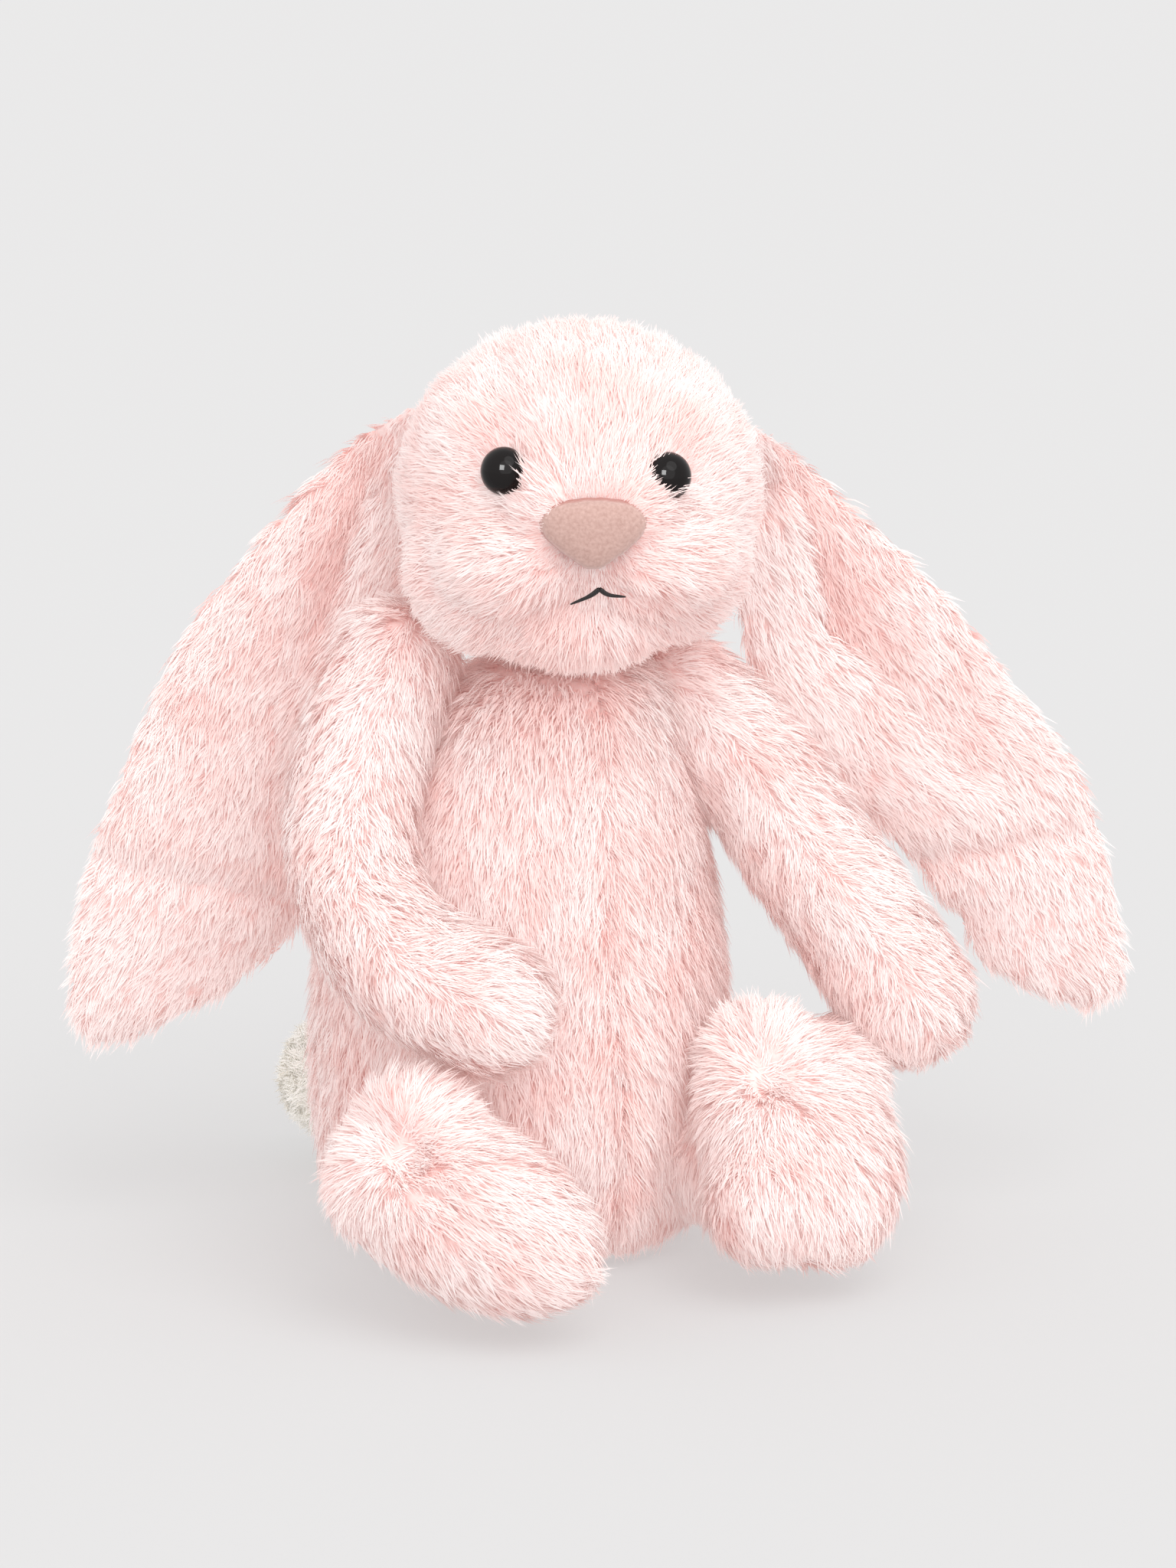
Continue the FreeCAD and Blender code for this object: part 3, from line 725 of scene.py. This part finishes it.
for side, body in (("right", "arm_right"), ("left", "arm_left")):
    xyz, run, share = curve_through(ARM_BENDS[side], 34)
    sizes = np.interp(share, *zip(*ARM_SIZES))
    arm = stuffed(body + "_skin", [(xyz[i], sizes[i]) for i in range(len(xyz))], 1.8, 6)
    middle, first, last = (np.array(ARM_BENDS[side][k]) for k in (2, 0, -1))
    seam_normal = np.cross(middle - first, last - first)

    def parted(places, normals, xyz=xyz, run=run):
        """The coat follows the arm and parts along its front."""
        nearest = nearest_of(places, xyz)
        sideways = np.cross(run[nearest], [0, -1, 0.25])
        sideways /= np.linalg.norm(sideways, axis=1)[:, None]
        off = ((places - xyz[nearest]) * sideways).sum(axis=1)
        return run[nearest] + sideways * (0.55 * np.tanh(off / 2.5) * bump(off, 11))[:, None]
    lay_pile(arm, parted, COAT_LENGTH, 0.8, 0.6, 20 + len(side))

    def arm_panel(places, middle=middle, seam_normal=seam_normal):
        return np.where((places - middle) @ seam_normal > 0, 0, 1)
    cover(arm, body, [body + "_outer_panel", body + "_inner_panel"], arm_panel, TUFTS_PER_MM2["arm"],
          300 + len(side) * 10, body + "_stuffing")

# ---------------------------------------------------------------- legs and feet
FOOT_AXES = {"right": (Vector((0.81, -0.454, -0.369)), Vector((0.55, 0.1, 0.83))),
             "left": (Vector((0.30, -0.60, -0.74)), Vector((0.9, 0.4, 0.05)))}
HIPS = {"right": at(-20, -43, 24), "left": at(42, -22, 24)}
# Half sizes of the boot, how far its middle is moved, its dimple as shares of the half sizes, and the heel's lobes.
BOOTS = {
    "right": ((32.5, 18.8, 16.5), Vector((0.5, 0, 3.0)), (-0.45, 0.30), [(-18, 11, 13.0), (-19, -4, 12.5)]),
    "left": ((29.5, 22.0, 16.5), Vector((-3.0, 0, 2.0)), (-0.40, -0.45), [(-20, -2, 14.0), (-14, 13, 13.0),
                                                                         (12, -13, 14.0)]),
}
for side, body in (("right", "leg_right"), ("left", "leg_left")):
    toe, across = (v.normalized() for v in FOOT_AXES[side])
    sole = toe.cross(across).normalized()
    across = sole.cross(toe).normalized()
    turn = Matrix((toe, across, sole)).transposed()
    half_sizes, moved, (share_along, share_across), lobes = BOOTS[side]
    foot, hip = FEET[side] + moved, HIPS[side]
    front = sole if sole.y < 0 else -sole
    lumps = [(foot, half_sizes, turn)] + [(foot + toe * a + across * c, r) for a, c, r in lobes]
    lumps += [(hip.lerp(foot, k / 6), 15) for k in range(6)]
    leg = stuffed(body + "_skin", lumps, 2.0, 9)
    dimple = foot + toe * half_sizes[0] * share_along + across * half_sizes[1] * share_across + front * 14.5
    crease = [dimple, foot + toe * 2 + front * 17.5, foot + toe * 24 + front * 13]
    push(leg, near_point(dimple, 5.5, 4.5), near_line([dimple, dimple - toe * 16 - front * 3], 3.5, 2.4),
         near_line(crease, 2.6, 0.9))
    leg.data.update()

    def from_dimple(places, normals, dimple=dimple, toe=toe):
        away = places - np.array(dimple)
        distance = np.linalg.norm(away, axis=1)[:, None]
        return away / distance * (0.5 + 1.2 * bump(distance, 20)) + 0.5 * np.array(toe)
    low = np.clip((read(leg)[0][:, 2] - 0.5) / 6, 0.3, 1)
    lay_pile(leg, from_dimple, COAT_LENGTH * low, 0.74 * low, 0.45, 40 + len(side))
    seam_normal = np.array((foot - hip).cross(toe))

    def leg_panel(places, foot=np.array(foot), seam_normal=seam_normal):
        return np.where((places - foot) @ seam_normal > 0, 0, 1)
    cover(leg, body, [body + "_outer_panel", body + "_inner_panel"], leg_panel, TUFTS_PER_MM2["leg"],
          400 + len(side) * 10, body + "_stuffing")

# ---------------------------------------------------------------- ears
# Each row is the outer edge, then the edge next to the head, sideways and up, from the root to the tip.
EAR_ROWS = {
    "right": [(-24, 195.5, -16, 187), (-33, 188, -17.5, 177), (-43, 178, -19, 163), (-53.5, 167.5, -22, 148),
              (-65, 154, -28, 133), (-75, 141.5, -36, 117), (-83, 126, -43, 103), (-89.5, 110, -47, 90),
              (-95.5, 96, -50, 78), (-100, 82, -54, 69), (-102.5, 69, -62, 61), (-103.5, 57.5, -74, 54),
              (-102, 48.5, -86, 48.5), (-98, 45, -92, 46)],
    "left": [(51, 192, 43, 186), (60, 184, 46, 177), (69, 175, 49, 163), (81, 164, 51, 149),
             (93, 153, 54, 135), (104, 141, 60, 121), (112, 129.5, 68, 109.5), (121, 118.5, 79, 99),
             (129, 107, 89, 90), (135, 94, 97, 80), (139, 79, 104, 71), (141.5, 66, 109, 62),
             (142.5, 56, 118, 55.5), (139.5, 51, 128, 51.5), (135.5, 49.5, 132, 50)],
}
ACROSS = np.linspace(-1, 1, 41)                           # -1 is the edge next to the head
# Where the strip of ear next to the head is folded forward over the rest, sideways and up, from the root.
FOLD_LINES = {
    "right": [(-27, 189.5), (-30.6, 183.9), (-36.3, 168.1), (-40.2, 152.5), (-44.5, 139.6), (-49.2, 127.4)],
    "left": [(61, 178.6), (66.7, 167.2), (69.9, 154.6), (72.3, 139.4), (82.6, 131.6), (92.8, 118.7),
             (104.3, 105.7), (118.4, 95.1)],
}


def beside_fold(places, side):
    """How far each place lies to the head side of the fold line, and how far along the line it is, 0 to 1."""
    line = np.array([(HOME.x + x, HOME.y, z) for x, z in FOLD_LINES[side]])
    flattened = places * np.array([1, 0, 1]) + np.array([0, HOME.y, 0])
    distance, apart, link, part = to_chain(flattened, line)
    step = np.diff(line, axis=0)[link]
    toward_head = np.sign(apart[:, 2] * step[:, 0] - apart[:, 0] * step[:, 2]) * (1 if side == "right" else -1)
    return distance * toward_head, (link + part) / (len(line) - 1)


for side in ("right", "left"):
    body = "ear_" + side
    rows = EAR_ROWS[side]
    outer, run, share = curve_through([at(x, 11.5, z) for x, z, _, _ in rows], 64)
    inner, inner_run, _ = curve_through([at(x, 11.5, z) for _, _, x, z in rows], 64)
    bm = bmesh.new()
    sheets = {}
    for face in (-1, 1):                                  # the face to the front, then the face to the back
        sheets[face] = []
        for i, s in enumerate(share):
            fold = max(0.0, 1 - s / 0.5) ** 0.7
            flat = inner[i] + (outer[i] - inner[i]) * ((ACROSS + 1) / 2)[:, None]
            off, gone = beside_fold(flat, side)
            row = []
            for v, past, run_out in zip(ACROSS, off, gone):
                roll = (1 - run_out) ** 0.6 * min(1.0, 0.3 + run_out * 7)
                depth = -10.5 * (1 - math.exp(-past / 2.2)) * roll if past > 0 else 0.0
                depth += (3.5 * roll * math.exp(-abs(past) / 7)) - 4.0 * fold * bump(v - 0.45, 0.4)
                depth += 2.5 * math.sin(math.pi * s * 1.9 + 0.6) * (1 - v * v) - 3.0 * bump(s - 0.93, 0.12) + 1.0
                depth += 2.4 * bump(s - 0.71 - 0.03 * v, 0.025)            # the soft crease above the tip
                depth -= 17 * max(0.0, 1 - s / 0.13) ** 1.5
                thick = 2.4 * math.sqrt(max(0.0, 1 - v * v)) * min(1.0, math.sqrt(max(0.0, 1 - s)) * 3.4 + 0.02)
                spot = flat[len(row)] + np.array([0, depth + face * thick, 0])
                row.append(bm.verts.new(Vector(spot) * MM))
            sheets[face].append(row)
    for face, lines in sheets.items():
        for low, high in zip(lines, lines[1:]):
            for k in range(len(ACROSS) - 1):
                bm.faces.new((low[k], low[k + 1], high[k + 1], high[k]))
    for end in (0, -1):
        for k in range(len(ACROSS) - 1):
            bm.faces.new((sheets[-1][end][k], sheets[-1][end][k + 1], sheets[1][end][k + 1], sheets[1][end][k]))
    bmesh.ops.remove_doubles(bm, verts=bm.verts, dist=0.03 * MM)
    bmesh.ops.recalc_face_normals(bm, faces=bm.faces)
    ear = new_piece(body + "_skin", bm)
    soften = ear.modifiers.new("soften", "SMOOTH")
    soften.factor, soften.iterations = 0.5, 2
    ear = evaluated(ear)
    middle, middle_run = (outer + inner) / 2, run + inner_run
    ear_places, _ = read(ear)
    nearest = nearest_of(ear_places, middle)
    off, gone = beside_fold(ear_places, side)
    # Painted shade and light: deeper pink in the fold's valley on both sides of the fold line, painted paler over
    # the rest of the strip next to the head and on the ear past the soft crease.
    fold_light_and_shade = np.where(off > 0, 1.2 * np.exp(-np.abs(off) / 1.5) - 0.25, 1.1 * np.exp(-np.abs(off) / 9)) \
        * np.clip(1.35 - gone, 0, 1) * np.clip(1.6 - share[nearest] * 2.2, 0, 1) \
        * np.clip(share[nearest] * 9, 0, 1)
    past_crease = np.clip((share[nearest] - 0.70) / 0.04, 0, 1)
    smooth_tip = 1 - 0.12 * past_crease
    rooted = np.clip(0.45 + share[nearest] * 6, 0, 1)
    fold_light_and_shade -= 0.35 * past_crease
    shortened = rooted * smooth_tip
    lay_pile(ear, along_curve(middle, middle_run), COAT_LENGTH * shortened, 0.72 * shortened, 0.3,
             60 + len(side), fold_light_and_shade)

    def ear_panel(places, ear=ear):
        facing = np.empty(len(ear.data.polygons) * 3)
        ear.data.polygons.foreach_get("normal", facing)
        return np.where(facing.reshape(-1, 3)[:, 1] < 0, 0, 1)
    cover(ear, body, [body + "_front_panel", body + "_back_panel"], ear_panel, TUFTS_PER_MM2["ear"],
          500 + len(side) * 10)

# ---------------------------------------------------------------- eyes, nose, mouth
bead_black, nodes, links, shader = material("polished_black")
shader.inputs["Base Color"].default_value = (0.006, 0.005, 0.005, 1)
spread = nodes.new("ShaderNodeMapRange")
spread.inputs["To Min"].default_value, spread.inputs["To Max"].default_value = 0.03, 0.07
links.new(grained(nodes, links, 160), spread.inputs["Value"])
links.new(spread.outputs["Result"], shader.inputs["Roughness"])
shader.inputs["Specular IOR Level"].default_value = 0.15
EYE_TURN = math.radians(27)
for side in ("right", "left"):
    outward = math.sin(EYE_TURN) * (-1 if side == "right" else 1)
    joint_axis = Vector((outward, -math.cos(EYE_TURN), 0.25)).normalized()
    seat = HEAD + Vector((-20.0, -34.2, 11.4) if side == "right" else (18.6, -34.6, 9.9)) - joint_axis * 2.7
    mesh = bpy.data.meshes.new("eye_%s_bead" % side)
    bm = bmesh.new()
    turn = joint_axis.to_track_quat("Z", "Y").to_matrix().to_4x4()
    fit = Matrix.Translation(seat * MM) @ turn @ Matrix.Diagonal((5.2 * MM, 5.35 * MM, 4.8 * MM, 1))
    bmesh.ops.create_uvsphere(bm, u_segments=48, v_segments=32, radius=1, matrix=fit)
    bm.to_mesh(mesh)
    bm.free()
    mesh.materials.append(bead_black)
    mesh.shade_smooth()
    bead = bpy.data.objects.new("eye_%s_bead" % side, mesh)
    show(bead)
    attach(bead, "head")
    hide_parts("eye_" + side)


NOSE_OUTLINE = [(0, 7.2), (-4, 6.9), (-7.5, 6.3), (-10, 5.3), (-11.8, 3.6), (-12.4, 1.6), (-11.4, -0.8),
                (-8.6, -3.4), (-5.2, -6.0), (-2.6, -8.0), (-0.9, -9.0)]


def nose_edge(angle):
    """How far the nose reaches from its middle at an angle: a soft shield, wide above and narrow below."""
    half = sorted((math.atan2(-x, z), math.hypot(x, z)) for x, z in NOSE_OUTLINE)
    turned = abs((angle - math.pi / 2 + math.pi) % (2 * math.pi) - math.pi)
    return float(np.interp(turned, [t for t, _ in half] + [math.pi], [r for _, r in half] + [8.4]))


mesh = bpy.data.meshes.new("nose_leather")
bm = bmesh.new()
ring_count, turns = 16, 96
reach = np.array([nose_edge(2 * math.pi * k / turns) for k in range(turns)])
for _ in range(3):
    reach = (np.roll(reach, 1) + 2 * reach + np.roll(reach, -1)) / 4
rim = bm.verts.layers.float.new("rim")
centre = None
rings = []
for i in range(ring_count + 1):
    share = i / ring_count
    ring = []
    for k in range(turns if i else 1):
        angle = 2 * math.pi * k / turns
        x, z = (reach[k] * share * f(angle) for f in (math.cos, math.sin))
        puff = 1.9 + 1.9 * (1 - share ** 4) - 2.4 * max(0, share - 0.92) / 0.08
        vert = bm.verts.new(on_head(x + 0.4, z - 1.3, puff) * MM)
        vert[rim] = share
        ring.append(vert)
    rings.append(ring)
for k in range(turns):
    bm.faces.new((rings[0][0], rings[1][k], rings[1][(k + 1) % turns]))
    for i in range(1, ring_count):
        bm.faces.new((rings[i][k], rings[i + 1][k], rings[i + 1][(k + 1) % turns], rings[i][(k + 1) % turns]))
bmesh.ops.recalc_face_normals(bm, faces=bm.faces)
bm.to_mesh(mesh)
bm.free()
suede, nodes, links, shader = material("nose_suede")
nap = grained(nodes, links, 1400, 6)
shades = ramp(nodes, [(0.3, (0.48, 0.29, 0.25)), (0.7, (0.61, 0.40, 0.352))])
links.new(nap, shades.inputs["Fac"])
edge = nodes.new("ShaderNodeAttribute")
edge.attribute_name = "rim"
edge_fade = ramp(nodes, [(0.935, (0, 0, 0)), (0.975, (1, 1, 1))])
links.new(edge.outputs["Fac"], edge_fade.inputs["Fac"])
tint = nodes.new("ShaderNodeMix")
tint.data_type = "RGBA"
links.new(edge_fade.outputs["Color"], tint.inputs["Factor"])
links.new(shades.outputs["Color"], tint.inputs["A"])
tint.inputs["B"].default_value = (0.42, 0.15, 0.12, 1)
links.new(tint.outputs["Result"], shader.inputs["Base Color"])
roughened(nodes, links, shader, nap, 0.5, FINE_RELIEF_M)
shader.inputs["Roughness"].default_value = 0.85
shader.inputs["Sheen Weight"].default_value = 0.5
mesh.materials.append(suede)
mesh.shade_smooth()
nose = bpy.data.objects.new("nose_suede_patch", mesh)
show(nose)
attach(nose, "head")
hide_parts("nose_patch")

thread, nodes, links, shader = material("black_thread")
where = nodes.new("ShaderNodeTexCoord")
twist = nodes.new("ShaderNodeTexWave")
twist.inputs["Scale"].default_value = 900
links.new(where.outputs["Object"], twist.inputs["Vector"])
shades = ramp(nodes, [(0.2, (0.004, 0.004, 0.004)), (0.8, (0.02, 0.018, 0.018))])
links.new(twist.outputs["Fac"], shades.inputs["Fac"])
links.new(shades.outputs["Color"], shader.inputs["Base Color"])
roughened(nodes, links, shader, twist.outputs["Fac"], 0.6, 0.0002)
shader.inputs["Roughness"].default_value = 0.5
curve = bpy.data.curves.new("mouth", "CURVE")
curve.dimensions, curve.bevel_depth, curve.bevel_resolution = "3D", 0.42 * MM, 4
for end in (-1, 1):
    path = [on_head(1.6, -14.2, 3.0), on_head(1.6 + end * 2.1, -15.7 - 0.2 * (end < 0), 3.1),
            on_head(1.6 + end * (5.9 if end > 0 else 6.2), -16.4 if end > 0 else -18.0, 3.0)]
    strand = curve.splines.new("POLY")
    strand.points.add(8)
    smooth, _, _ = curve_through(path, 9)
    for k, spot in enumerate(smooth):
        strand.points[k].co = (*(Vector(spot) * MM), 1)
        strand.points[k].radius = (1.2, 1.4, 1.3, 1.15, 1.0, 0.9, 0.8, 0.65, 0.4)[k]
curve.use_fill_caps = True
curve.materials.append(thread)
stitches = bpy.data.objects.new("mouth_satin_stitch", curve)
show(stitches)
stitches = evaluated(stitches)
stitches.name = "mouth_satin_stitch"
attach(stitches, "head")
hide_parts("mouth_stitch")

# ---------------------------------------------------------------- carried-over inner pieces
for node in ("neck_seam_thread", "eye_right_washer", "eye_left_washer", "torso_pellet_pouch",
             "leg_right_pellet_pouch", "leg_left_pellet_pouch"):
    piece = frame["nodes"][node]
    piece.data.materials.clear()
    piece.data.materials.append(PINK_BACKING if node == "neck_seam_thread" else WADDING)

for group in (TUFTS, POM_TUFTS):
    for unused in list(group.objects):
        bpy.data.objects.remove(unused)
    bpy.data.collections.remove(group)

# ---------------------------------------------------------------- studio
floor_mesh = bpy.data.meshes.new("floor")
FLOOR_HALF_M = 9.0
corners = [(x * FLOOR_HALF_M, y * FLOOR_HALF_M, 0) for x, y in ((-1, -1), (1, -1), (1, 1), (-1, 1))]
floor_mesh.from_pydata(corners, [], [(0, 1, 2, 3)])
floor = bpy.data.objects.new("floor", floor_mesh)
paper, nodes, links, shader = material("pale_paper")
shader.inputs["Base Color"].default_value = (0.29, 0.287, 0.287, 1)
shader.inputs["Roughness"].default_value = 1.0
shader.inputs["Emission Color"].default_value = (1.0, 0.995, 0.995, 1)
shader.inputs["Emission Strength"].default_value = 0.445
shader.inputs["Specular IOR Level"].default_value = 0.0
floor_mesh.materials.append(paper)
show(floor)

world = bpy.data.worlds.new("studio")
world.use_nodes = True
world.node_tree.nodes["Background"].inputs["Color"].default_value = (1, 1, 1, 1)
world.node_tree.nodes["Background"].inputs["Strength"].default_value = 0.95
bpy.context.scene.world = world


def toward(azimuth, elevation):
    """Unit vector toward a direction: azimuth 0 is in front of the rabbit, elevation is above the floor."""
    level = math.cos(elevation)
    return Vector((math.sin(azimuth) * level, -math.cos(azimuth) * level, math.sin(elevation)))


def sun(name, azimuth, elevation, strength, soft):
    lamp = bpy.data.lights.new(name, "SUN")
    lamp.energy, lamp.angle = strength, math.radians(soft)
    obj = bpy.data.objects.new(name, lamp)
    from_there = toward(math.radians(azimuth), math.radians(elevation))
    obj.rotation_euler = from_there.to_track_quat("Z", "Y").to_euler()
    show(obj)


sun("key", 32, 55, 0.84, 45)
sun("front_fill", 2, 26, 1.0, 65)
lamp = bpy.data.lights.new("window", "AREA")
lamp.energy, lamp.size = 26.0, 0.5
window = bpy.data.objects.new("window", lamp)
window.location = (HEAD + Vector((-420, -1200, 620))) * MM
window.rotation_euler = (window.location - HEAD * MM).to_track_quat("Z", "Y").to_euler()
show(window)
seen = bpy.data.collections.new("window_lit")               # the window is only there to glint in the beads
for side in ("right", "left"):
    seen.objects.link(bpy.data.objects["eye_%s_bead" % side])
window.light_linking.receiver_collection = seen
bpy.context.scene.view_settings.view_transform = "Standard"

camera_data = bpy.data.cameras.new("camera")
camera_data.sensor_fit, camera_data.sensor_width, camera_data.lens = "HORIZONTAL", 36, 182.3
camera = bpy.data.objects.new("camera", camera_data)
azimuth, elevation, distance = math.radians(-4), math.radians(13), 1.4
aim = at(17.4, 22.2, 101.0) * MM
back = toward(azimuth, elevation)
camera.location = aim + back * distance
camera.rotation_euler = back.to_track_quat("Z", "Y").to_euler()
show(camera)
bpy.context.scene.camera = camera
